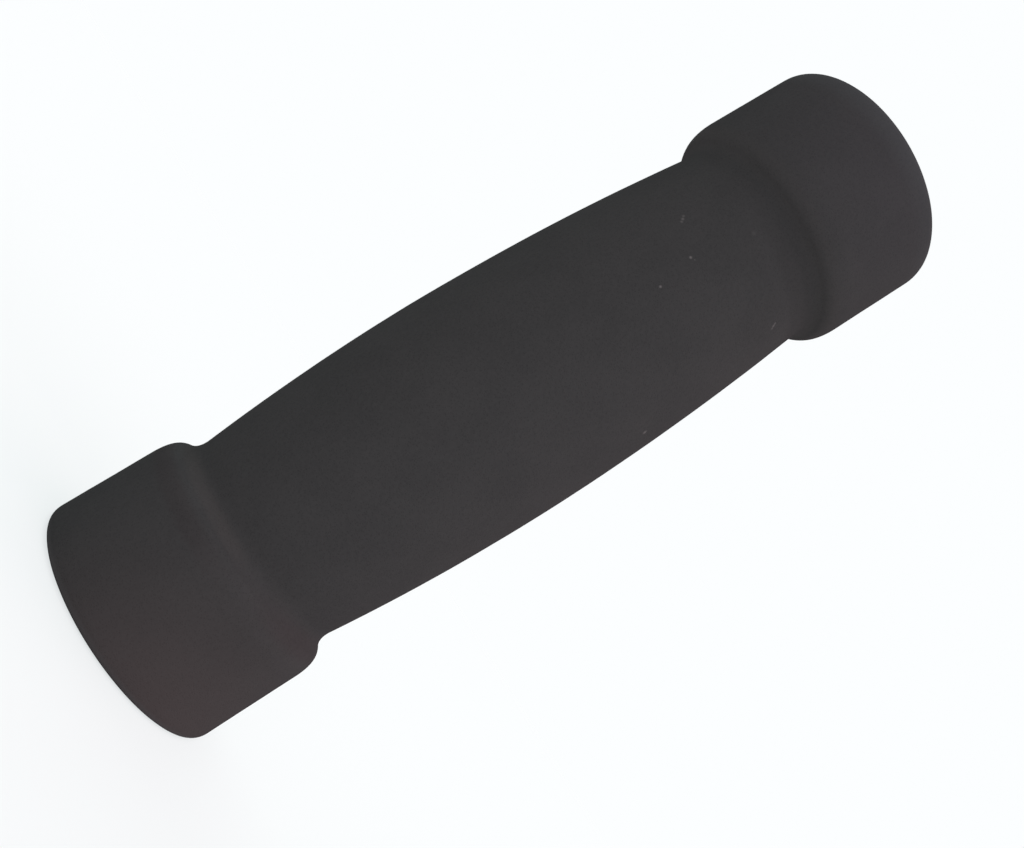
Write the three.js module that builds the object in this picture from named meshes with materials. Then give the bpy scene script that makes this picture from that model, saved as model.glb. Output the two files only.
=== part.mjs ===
// A bicycle handlebar grip: one piece of black foam rubber, ground to a smooth round shape and cut off square.
// It has a raised collar at each end, a swollen belly for the palm between them, and a bore right through for the bar.
// Millimetres, +Z up. The grip stands on one end, so the origin is the centre of its lower end face and +Z runs
// along the bore. The outline is drawn as (radius, height) and turned about the bore.
import * as THREE from "three";

// Overall size and the bore for a 22 mm bar
const LENGTH = 125;
const BORE_RADIUS = 11;

// The two collars, which are alike
const COLLAR_RADIUS = 18.5;
const COLLAR_LENGTH = 18.4;

// The necks beside the collars, and the belly, which is widest a little below the middle
const NECK_RADIUS = 15.7;
const SHOULDER_RUN = 1.7; // height of the slope between a collar and its neck
const BELLY_RADIUS = 18.1;
const BELLY_HEIGHT = 60;
const BELLY_REACH = 0.52; // share of the way to the belly at which the neck's tangent has its radius

// How far from each corner its softening starts
const END_EDGE = 1.6;
const SHOULDER_EDGE = 3.2;
const NECK_BLEND = 2.2;
const BORE_EDGE = 0.5;

// Fineness
const SIDES = 64;
const EDGE_STEPS = 4;
const BORE_EDGE_STEPS = 2;
const NECK_STEPS = 5;
const BELLY_STEPS = 7;
const SAME_POINT = 0.01; // points closer together than this count as one

const at = (radius, height) => new THREE.Vector2(radius, height);

// The point that lies a distance from one point on the way to another, and at most halfway.
function towards(from, to, distance) {
  const way = to.clone().sub(from);
  return from.clone().add(way.setLength(Math.min(distance, way.length() / 2)));
}

// A corner of the outline, softened into a curve that is tangent to both of its sides.
function softened(before, corner, after, setback, steps) {
  const start = towards(corner, before, setback);
  const end = towards(corner, after, setback);
  return new THREE.QuadraticBezierCurve(start, corner, end).getPoints(steps);
}

// One end of the grip, from the middle of the bore's wall over the end face to the widest place of the belly.
// Heights are measured from that end.
function endOutline(bellyHeight) {
  const boreMiddle = at(BORE_RADIUS, bellyHeight);
  const boreMouth = at(BORE_RADIUS, 0);
  const foot = at(COLLAR_RADIUS, 0);
  const shoulder = at(COLLAR_RADIUS, COLLAR_LENGTH);
  const neck = at(NECK_RADIUS, COLLAR_LENGTH + SHOULDER_RUN);
  const belly = at(BELLY_RADIUS, bellyHeight);
  const rise = at(BELLY_RADIUS, THREE.MathUtils.lerp(neck.y, bellyHeight, BELLY_REACH));

  const neckCurve = softened(shoulder, neck, rise, NECK_BLEND, NECK_STEPS);
  const bellyCurve = new THREE.QuadraticBezierCurve(neckCurve.at(-1), rise, belly);
  return [
    ...softened(boreMiddle, boreMouth, foot, BORE_EDGE, BORE_EDGE_STEPS),
    ...softened(boreMouth, foot, shoulder, END_EDGE, EDGE_STEPS),
    ...softened(foot, shoulder, neck, SHOULDER_EDGE, EDGE_STEPS),
    ...neckCurve,
    ...bellyCurve.getPoints(BELLY_STEPS).slice(1),
  ];
}

// The whole closed outline: the lower end, then the upper end turned over, and back down the bore.
// Where two softenings meet, their shared point is kept once.
function gripOutline() {
  const lower = endOutline(BELLY_HEIGHT);
  const upper = endOutline(LENGTH - BELLY_HEIGHT).map((p) => at(p.x, LENGTH - p.y));
  const joined = [...lower, ...upper.reverse()];
  const distinct = joined.filter((p, i) => i === 0 || p.distanceTo(joined[i - 1]) > SAME_POINT);
  return [...distinct, distinct[0].clone()];
}

function makeGrip() {
  const geometry = new THREE.LatheGeometry(gripOutline(), SIDES).rotateX(Math.PI / 2);
  const foam = new THREE.MeshStandardMaterial({ color: 0x3a3838, roughness: 0.9, metalness: 0 });
  const grip = new THREE.Mesh(geometry, foam);
  grip.name = "grip";
  return grip;
}

const handlebarGrip = new THREE.Group();
handlebarGrip.add(makeGrip());

export default handlebarGrip;
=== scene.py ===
# A bicycle handlebar grip of black foam rubber, standing on its end on a pale floor in soft studio light.
# The camera is rolled, so the standing grip slants across the picture from lower left to upper right.
# Metres, +Z up, with the origin at the centre of the grip's lower end face.
import math

import bpy
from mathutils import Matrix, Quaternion, Vector, noise


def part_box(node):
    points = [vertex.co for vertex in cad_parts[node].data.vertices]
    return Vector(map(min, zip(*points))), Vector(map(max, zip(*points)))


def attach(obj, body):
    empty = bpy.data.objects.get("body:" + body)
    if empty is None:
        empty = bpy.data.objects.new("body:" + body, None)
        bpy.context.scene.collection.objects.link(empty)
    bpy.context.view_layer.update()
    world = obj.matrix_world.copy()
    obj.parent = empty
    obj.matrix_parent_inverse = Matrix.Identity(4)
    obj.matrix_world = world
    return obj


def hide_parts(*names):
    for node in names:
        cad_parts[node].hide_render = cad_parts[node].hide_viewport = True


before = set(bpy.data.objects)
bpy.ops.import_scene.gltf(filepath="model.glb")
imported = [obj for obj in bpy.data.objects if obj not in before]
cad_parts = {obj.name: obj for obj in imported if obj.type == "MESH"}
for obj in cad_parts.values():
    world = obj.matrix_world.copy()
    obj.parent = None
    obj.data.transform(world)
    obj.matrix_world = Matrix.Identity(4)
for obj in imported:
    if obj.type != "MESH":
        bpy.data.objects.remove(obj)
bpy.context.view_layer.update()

MM = 0.001

# Sizes of the grip. Its length and its collars are those of the frame's node.
GRIP_LOW, GRIP_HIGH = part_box("grip")
LENGTH = GRIP_HIGH.z - GRIP_LOW.z
COLLAR_RADIUS = (GRIP_HIGH.x - GRIP_LOW.x) / 2
COLLAR_LENGTH = 18.4 * MM
BORE_RADIUS = 11 * MM
NECK_RADIUS = 15.7 * MM
SHOULDER_RUN = 1.7 * MM
BELLY_RADIUS = 18.1 * MM
BELLY_HEIGHT = 60 * MM
BELLY_REACH = 0.52

# How far from each corner of the outline its softening starts
END_EDGE = 1.6 * MM
SHOULDER_EDGE = 3.2 * MM
NECK_BLEND = 2.2 * MM
BORE_EDGE = 0.5 * MM

# Fineness of the mesh: how far apart its rows lie, and how many points each row has
SIDES = 224
OUTSIDE_STEP = 0.55 * MM
EDGE_STEP = 0.25 * MM
BORE_STEP = 1.6 * MM

# How uneven the ground foam is: the depth and the length of its waves, from broad to fine
WAVES = ((0.07 * MM, 22 * MM), (0.025 * MM, 5 * MM), (0.008 * MM, 1.6 * MM))

# The three finishes of the foam, which are also the order of its materials
GROUND, CUT, SKIN = range(3)

# The size of the foam's cells and the depth of its pits in each finish
GROUND_CELLS = (0.33 * MM, 0.02 * MM)
CUT_CELLS = (0.5 * MM, 0.08 * MM)
SKIN_CELLS = (0.6 * MM, 0.02 * MM)

# The colours that the foam lies between, and the painted shade that it turns towards in its pits
FOAM_DARK = (0.036, 0.0372, 0.0378, 1)
FOAM_LIGHT = (0.0458, 0.0466, 0.0471, 1)
PIT_PAINTED_SHADE = (0, 0, 0, 1)
PIT_SHADE_KEEPS = 0.88  # the share of the foam's colour that is left at the bottom of a pit

# Broad blotches and fine grain: their size, the range of noise that counts, and how far it takes the foam
# from its dark colour to its light one. A pit's range is of distances from a cell's middle, in cell sizes.
BLOTCH_SIZE = 9 * MM
BLOTCH_RANGE = (0.35, 0.65)
BLOTCH_TONE = (0.2, 0.45)
GRAIN_SIZE = 0.5 * MM
GRAIN_RANGE = (0.3, 0.7)
GRAIN_TONE = (0, 0.3)
PIT_RANGE = (0.1, 0.45)

# The shares of the grain and of the pits in the relief of the surface
GRAIN_RELIEF = 0.6
PIT_RELIEF = 0.4
FOAM_ROUGHNESS = 0.95

# Light bits of lint on the grip: angle round it in degrees, height, radius and how light it is
LINT = (
    (-117.1, 92.6 * MM, 0.32 * MM, 0.35),
    (-115.9, 92.2 * MM, 0.34 * MM, 0.45),
    (-114.9, 91.8 * MM, 0.32 * MM, 0.35),
    (-92.3, 99.4 * MM, 0.55 * MM, 0.1),
    (-97.8, 89.6 * MM, 0.31 * MM, 0.75),
    (-95.9, 89.9 * MM, 0.20 * MM, 0.3),
    (-93.6, 83.7 * MM, 0.30 * MM, 0.75),
    (-42.3, 97.0 * MM, 0.32 * MM, 0.35),
    (-43.3, 97.3 * MM, 0.36 * MM, 0.5),
    (-44.2, 97.6 * MM, 0.32 * MM, 0.4),
    (-32.7, 73.7 * MM, 0.50 * MM, 0.5),
)
LINT_COLOUR = (0.15, 0.145, 0.145, 1)

# Soft patches of painted light on the collars, where they are made paler: centre, radius, how far it has
# gone and colour
PAINTED_LIGHT_PATCHES = (
    (Vector((12, -20, -6)) * MM, 33 * MM, 0.5, (0.07, 0.056, 0.055, 1)),
    (Vector((0, -20, 128)) * MM, 34 * MM, 0.14, (0.07, 0.06, 0.077, 1)),
)

# Soft rings round the grip of painted light and painted shade: the foam is made paler where light falls and
# darker where shade falls.
# Each has its radius and height, how far from it the change starts and is complete, the places on X between
# which the -X side passes into the +X side, how far the foam has gone on these two sides, and the colour.
PAINTED_LIGHT_COLOUR = (0.1, 0.087, 0.081, 1)
LOWER_RIM_PAINTED_LIGHT = (0.085, 0.087, 0.088, 1)
UPPER_RIM_PAINTED_LIGHT = (0.085, 0.097, 0.102, 1)
PAINTED_SHADE_COLOUR = (0.005, 0.005, 0.005, 1)
WARM_PAINTED_SHADE_COLOUR = (0.02, 0.004, 0.006, 1)
# Painted light on the rims of both ends: the lower rim made paler where the floor's shade falls on it, the
# upper rim paler as a lit rim
END_PAINTED_LIGHT_RINGS = (
    ((COLLAR_RADIUS, 0), (1.5 * MM, 0.3 * MM), (0, 12 * MM), (0.75, 0.75), LOWER_RIM_PAINTED_LIGHT),
    ((COLLAR_RADIUS, LENGTH), (4.8 * MM, 0.8 * MM), (0, 12 * MM), (0.2, 0.09), UPPER_RIM_PAINTED_LIGHT),
)
# Painted shade darkens the necks and the shaded slopes of the shoulders; painted light lightens the lit
# slope of the lower shoulder and the upper shoulder's face
SHOULDER_PAINTED_LIGHT_AND_SHADE_RINGS = (
    ((18.7 * MM, 17.2 * MM), (2 * MM, 0.8 * MM), (-7 * MM, 3 * MM), (0.1, 0), WARM_PAINTED_SHADE_COLOUR),
    ((17.2 * MM, 19.4 * MM), (2.7 * MM, 0.9 * MM), (4 * MM, 13 * MM), (0, 0.15), WARM_PAINTED_SHADE_COLOUR),
    ((16.5 * MM, 20 * MM), (1.6 * MM, 0.3 * MM), (-3 * MM, 4 * MM), (0.11, 0), PAINTED_LIGHT_COLOUR),
    ((16.4 * MM, 20 * MM), (1.8 * MM, 0.4 * MM), (-15.5 * MM, -12.5 * MM), (0.15, 0), PAINTED_SHADE_COLOUR),
    ((16 * MM, 102.6 * MM), (3.2 * MM, 1.2 * MM), (-6 * MM, 6 * MM), (0, 0.11), PAINTED_SHADE_COLOUR),
    ((17.4 * MM, 106.2 * MM), (2.6 * MM, 0.7 * MM), (0, 12 * MM), (0.05, 0.05), PAINTED_LIGHT_COLOUR),
)

# Camera
CAMERA_PLACE = Vector((0, -130.1, 40.8)) * MM
CAMERA_AIM = Vector((4.55, 0, 59.76)) * MM
CAMERA_ROLL = math.radians(58.1)
CAMERA_LENS = 31.34  # in millimetres, as is the sensor's width
SENSOR_WIDTH = 36
NEAREST_SEEN = 5 * MM

# Light and backdrop. A lamp has the direction that it shines from, a strength and a colour.
WHITE = (0.973, 0.991, 1, 1)
ROOM_COLOUR = (1, 1, 1, 1)
ROOM_LIGHT = 0.61
LAMPS = {
    "key": (Vector((0.32, -0.56, 0.77)), 1.58, (1.1, 0.93, 1)),
    "back": (Vector((-0.32, 0.56, 0.77)), 1.26, (0.87, 1.1, 1.05)),
    "side": (Vector((0.75, 0.43, 0.5)), 1.3, (1.22, 0.88, 0.92)),
}
LAMP_SPREAD = math.radians(60)
FLOOR_SIZE = 6
FLOOR_PAPER = (0.6, 0.6, 0.6, 1)
FLOOR_GLOW = (0.71, 0.739, 0.744, 1)
FLOOR_SHADE = (0.17, 0.17, 0.17, 1)

# The numbers of a Mix node's sockets for colours, whose names its other kinds share
MIX_FACTOR, MIX_FIRST, MIX_SECOND = 0, 6, 7
MIX_RESULT = 2


def at(radius, height):
    """A point of the outline, which lies in a plane through the axis."""
    return Vector((radius, height))


def towards(start, end, distance):
    """The point at a distance from start on the way to end, and at most halfway."""
    way = end - start
    return start + way.normalized() * min(distance, way.length / 2)


def straight(start, end, step):
    """Points about a step apart from start to end, without the end itself. Where the two nearly meet there
    are no points."""
    count = round((end - start).length / step)
    return [start.lerp(end, i / count) for i in range(count)]


def curve(start, corner, end, step):
    """A quadratic curve from start to end that bends towards the corner, without the end itself."""
    count = max(2, round(((corner - start).length + (end - corner).length) / step))
    shares = [i / count for i in range(count)]
    return [start.lerp(corner, t).lerp(corner.lerp(end, t), t) for t in shares]


def end_outline(belly_height):
    """One end of the grip as (point, finish) pairs, from the middle of the bore's wall over the end face to
    the widest place of the belly. Heights are measured from that end."""
    bore_middle = at(BORE_RADIUS, belly_height)
    bore_mouth = at(BORE_RADIUS, 0)
    foot = at(COLLAR_RADIUS, 0)
    shoulder = at(COLLAR_RADIUS, COLLAR_LENGTH)
    neck = at(NECK_RADIUS, COLLAR_LENGTH + SHOULDER_RUN)
    belly = at(BELLY_RADIUS, belly_height)
    rise = at(BELLY_RADIUS, neck.y + (belly_height - neck.y) * BELLY_REACH)

    mouth_in = towards(bore_mouth, bore_middle, BORE_EDGE)
    mouth_out = towards(bore_mouth, foot, BORE_EDGE)
    foot_in = towards(foot, bore_mouth, END_EDGE)
    foot_out = towards(foot, shoulder, END_EDGE)
    shoulder_in = towards(shoulder, foot, SHOULDER_EDGE)
    shoulder_out = towards(shoulder, neck, SHOULDER_EDGE)
    neck_in = towards(neck, shoulder, NECK_BLEND)
    neck_out = towards(neck, rise, NECK_BLEND)

    bore_wall = straight(bore_middle, mouth_in, BORE_STEP)
    end_face = [
        *curve(mouth_in, bore_mouth, mouth_out, EDGE_STEP),
        *straight(mouth_out, foot_in, OUTSIDE_STEP),
    ]
    outside = [
        *curve(foot_in, foot, foot_out, EDGE_STEP),
        *straight(foot_out, shoulder_in, OUTSIDE_STEP),
        *curve(shoulder_in, shoulder, shoulder_out, EDGE_STEP),
        *straight(shoulder_out, neck_in, EDGE_STEP),
        *curve(neck_in, neck, neck_out, EDGE_STEP),
        *curve(neck_out, rise, belly, OUTSIDE_STEP),
        belly,
    ]
    stretches = ((bore_wall, SKIN), (end_face, CUT), (outside, GROUND))
    return [(point, finish) for points, finish in stretches for point in points]


def grip_outline():
    """The whole closed outline: the lower end, then the upper end turned over, and back down the bore."""
    lower = end_outline(BELLY_HEIGHT)
    upper = [(at(p.x, LENGTH - p.y), finish) for p, finish in end_outline(LENGTH - BELLY_HEIGHT)]
    upper.reverse()
    return lower + upper[1:-1]


def unevenness(place):
    """How far the surface lies below its true shape at a place, so that it stays inside the frame's box."""
    return sum(depth * (1 - noise.noise(place / length)) / 2 for depth, length in WAVES)


def turned(point, angle):
    """A point of the outline, turned about Z to an angle."""
    return Vector((point.x * math.cos(angle), point.x * math.sin(angle), point.y))


def make_grip(outline, materials):
    """The outline turned about Z into one closed mesh of four-sided faces."""
    rows = len(outline)
    vertices = []
    for row, (point, _) in enumerate(outline):
        before = outline[row - 1][0]
        after = outline[(row + 1) % rows][0]
        way = (after - before).normalized()
        outward = at(way.y, -way.x)
        for side in range(SIDES):
            angle = side * math.tau / SIDES
            sunk = point - outward * unevenness(turned(point, angle))
            vertices.append(turned(sunk, angle))
    faces = []
    finishes = []
    for row, (_, finish) in enumerate(outline):
        next_row = (row + 1) % rows
        for side in range(SIDES):
            next_side = (side + 1) % SIDES
            faces.append((
                row * SIDES + side,
                row * SIDES + next_side,
                next_row * SIDES + next_side,
                next_row * SIDES + side,
            ))
            finishes.append(finish)
    mesh = bpy.data.meshes.new("grip_foam")
    mesh.from_pydata(vertices, [], faces)
    for material in materials:
        mesh.materials.append(material)
    mesh.polygons.foreach_set("material_index", finishes)
    mesh.shade_smooth()
    grip = bpy.data.objects.new("grip_foam", mesh)
    bpy.context.scene.collection.objects.link(grip)
    return grip


def on_surface(outline, angle, height):
    """The place on the outside of the grip at an angle in degrees and a height."""
    outside = [point for point, finish in outline if finish == GROUND]
    nearest = min(outside, key=lambda point: abs(point.y - height))
    return turned(at(nearest.x, height), math.radians(angle))


def add_node(tree, kind, inputs=None, **settings):
    """A shader node with its settings, and its inputs given as values or as the sockets that feed them."""
    made = tree.nodes.new("ShaderNode" + kind)
    for name, value in settings.items():
        setattr(made, name, value)
    for socket, value in (inputs or {}).items():
        if isinstance(value, bpy.types.NodeSocket):
            tree.links.new(value, made.inputs[socket])
        else:
            made.inputs[socket].default_value = value
    return made


def ramp(tree, value, start, end, low, high, kind="SMOOTHSTEP"):
    """A value carried from the range start to end over to the range low to high."""
    inputs = {"Value": value, "From Min": start, "From Max": end, "To Min": low, "To Max": high}
    return add_node(tree, "MapRange", inputs, interpolation_type=kind).outputs["Result"]


def colour_mix(tree, factor, first, second):
    inputs = {MIX_FACTOR: factor, MIX_FIRST: first, MIX_SECOND: second}
    return add_node(tree, "Mix", inputs, data_type="RGBA").outputs[MIX_RESULT]


def math_node(tree, operation, first, second):
    return add_node(tree, "Math", {0: first, 1: second}, operation=operation).outputs[0]


def distance_between(tree, first, second):
    return add_node(tree, "VectorMath", {0: first, 1: second}, operation="DISTANCE").outputs["Value"]


def noise_of(tree, place, size, detail):
    inputs = {"Vector": place, "Scale": 1 / size, "Detail": detail}
    return add_node(tree, "TexNoise", inputs).outputs["Fac"]


def with_spots(tree, place, colour, spots):
    """The colour with soft-edged spots on it, each a centre, a radius, how far it covers and a colour."""
    for centre, radius, share, spot_colour in spots:
        cover = ramp(tree, distance_between(tree, place, centre), radius, 0, 0, share)
        colour = colour_mix(tree, cover, colour, spot_colour)
    return colour


def with_rings(tree, place, colour, rings):
    """The colour with soft rings on it, by distance in the section through a place and the axis."""
    parts = add_node(tree, "SeparateXYZ", {0: place}).outputs
    across = add_node(tree, "CombineXYZ", {"X": parts["X"], "Y": parts["Y"]}).outputs[0]
    from_axis = add_node(tree, "VectorMath", {0: across}, operation="LENGTH").outputs["Value"]
    section = add_node(tree, "CombineXYZ", {"X": from_axis, "Z": parts["Z"]}).outputs[0]
    for (radius, height), reach, sides, shares, ring_colour in rings:
        away = distance_between(tree, section, (radius, 0, height))
        share = ramp(tree, parts["X"], *sides, *shares)
        cover = ramp(tree, away, *reach, 0, share)
        colour = colour_mix(tree, cover, colour, ring_colour)
    return colour


def foam_material(name, cell_size, pit_depth, spots, rings):
    """Foam rubber: tiny open cells with painted shade in their pits, over slow changes of tone, with spots
    of lint and painted light, and rings of painted light and painted shade.
    """
    material = bpy.data.materials.new(name)
    material.use_nodes = True
    tree = material.node_tree
    shader = tree.nodes["Principled BSDF"]
    place = add_node(tree, "TexCoord").outputs["Object"]

    blotches = noise_of(tree, place, BLOTCH_SIZE, detail=2)
    grain = noise_of(tree, place, GRAIN_SIZE, detail=3)
    cells = add_node(tree, "TexVoronoi", {"Vector": place, "Scale": 1 / cell_size}).outputs["Distance"]
    pits = ramp(tree, cells, *PIT_RANGE, 0, 1)

    blotch_tone = ramp(tree, blotches, *BLOTCH_RANGE, *BLOTCH_TONE)
    grain_tone = ramp(tree, grain, *GRAIN_RANGE, *GRAIN_TONE)
    colour = colour_mix(tree, math_node(tree, "ADD", blotch_tone, grain_tone), FOAM_DARK, FOAM_LIGHT)
    # Painted shade in the pits of the cells: the colour darkens towards the bottom of each pit
    kept = ramp(tree, pits, 0, 1, PIT_SHADE_KEEPS, 1, kind="LINEAR")
    colour = colour_mix(tree, kept, PIT_PAINTED_SHADE, colour)
    # Spots of lint and patches of painted light, then rings of painted light and painted shade
    colour = with_spots(tree, place, colour, spots)
    colour = with_rings(tree, place, colour, rings)
    tree.links.new(colour, shader.inputs["Base Color"])

    grain_height = math_node(tree, "MULTIPLY", grain, GRAIN_RELIEF)
    pit_height = math_node(tree, "MULTIPLY", pits, PIT_RELIEF)
    height = math_node(tree, "ADD", grain_height, pit_height)
    bump = add_node(tree, "Bump", {"Height": height, "Strength": 1, "Distance": pit_depth})
    tree.links.new(bump.outputs["Normal"], shader.inputs["Normal"])
    shader.inputs["Roughness"].default_value = FOAM_ROUGHNESS
    shader.inputs["Specular IOR Level"].default_value = 0
    return material


def make_camera():
    data = bpy.data.cameras.new("camera")
    data.sensor_width = SENSOR_WIDTH
    data.lens = CAMERA_LENS
    data.clip_start = NEAREST_SEEN
    camera = bpy.data.objects.new("camera", data)
    camera.location = CAMERA_PLACE
    camera.rotation_mode = "QUATERNION"
    upright = (CAMERA_AIM - CAMERA_PLACE).to_track_quat("-Z", "Y")
    camera.rotation_quaternion = upright @ Quaternion((0, 0, 1), CAMERA_ROLL)
    bpy.context.scene.collection.objects.link(camera)
    bpy.context.scene.camera = camera


def make_lamp(name, direction, strength, colour):
    """A broad soft lamp that shines from a direction."""
    data = bpy.data.lights.new(name, "SUN")
    data.energy = strength
    data.color = colour
    data.angle = LAMP_SPREAD
    lamp = bpy.data.objects.new(name, data)
    lamp.rotation_mode = "QUATERNION"
    lamp.rotation_quaternion = direction.to_track_quat("Z", "Y")
    bpy.context.scene.collection.objects.link(lamp)


def seen_directly(tree):
    """1 for what the camera sees directly, mirrored or through glass, and 0 for what only gives light."""
    path = add_node(tree, "LightPath")
    glossy = path.outputs["Is Glossy Ray"]
    mirrored = math_node(tree, "MAXIMUM", glossy, path.outputs["Is Transmission Ray"])
    return math_node(tree, "MAXIMUM", path.outputs["Is Camera Ray"], mirrored)


def make_room():
    """White to look at, with the light of a plain pale room."""
    world = bpy.data.worlds.new("room")
    world.use_nodes = True
    bpy.context.scene.world = world
    tree = world.node_tree
    light = tree.nodes["Background"]
    light.inputs["Color"].default_value = ROOM_COLOUR
    light.inputs["Strength"].default_value = ROOM_LIGHT
    look = add_node(tree, "Background", {"Color": WHITE, "Strength": 1})
    inputs = {0: seen_directly(tree), 1: light.outputs[0], 2: look.outputs[0]}
    both = add_node(tree, "MixShader", inputs)
    tree.links.new(both.outputs[0], tree.nodes["World Output"].inputs["Surface"])


def make_floor():
    """A pale floor that gives back light as paper does, and shows white but for the grip's shadow."""
    half = FLOOR_SIZE / 2
    corners = [(-half, -half, 0), (half, -half, 0), (half, half, 0), (-half, half, 0)]
    mesh = bpy.data.meshes.new("floor")
    mesh.from_pydata(corners, [], [(0, 1, 2, 3)])
    floor = bpy.data.objects.new("floor", mesh)
    bpy.context.scene.collection.objects.link(floor)
    material = bpy.data.materials.new("pale floor")
    material.use_nodes = True
    tree = material.node_tree
    tree.nodes.remove(tree.nodes["Principled BSDF"])
    paper = add_node(tree, "BsdfDiffuse", {"Color": FLOOR_PAPER})
    shade = add_node(tree, "BsdfDiffuse", {"Color": FLOOR_SHADE})
    glow = add_node(tree, "Emission", {"Color": FLOOR_GLOW})
    look = add_node(tree, "AddShader", {0: shade.outputs[0], 1: glow.outputs[0]})
    both = add_node(tree, "MixShader", {0: seen_directly(tree), 1: paper.outputs[0], 2: look.outputs[0]})
    tree.links.new(both.outputs[0], tree.nodes["Material Output"].inputs["Surface"])
    mesh.materials.append(material)


outline = grip_outline()
lint = [
    (on_surface(outline, angle, height), radius, share, LINT_COLOUR)
    for angle, height, radius, share in LINT
]
grip = make_grip(outline, [
    foam_material("ground foam", *GROUND_CELLS, [*PAINTED_LIGHT_PATCHES, *lint], END_PAINTED_LIGHT_RINGS + SHOULDER_PAINTED_LIGHT_AND_SHADE_RINGS),
    foam_material("cut foam", *CUT_CELLS, PAINTED_LIGHT_PATCHES, END_PAINTED_LIGHT_RINGS),
    foam_material("bore skin", *SKIN_CELLS, [], []),
])
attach(grip, "root")
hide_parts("grip")

make_room()
for name, lamp in LAMPS.items():
    make_lamp(name, *lamp)
make_floor()
make_camera()
bpy.context.scene.view_settings.view_transform = "Standard"
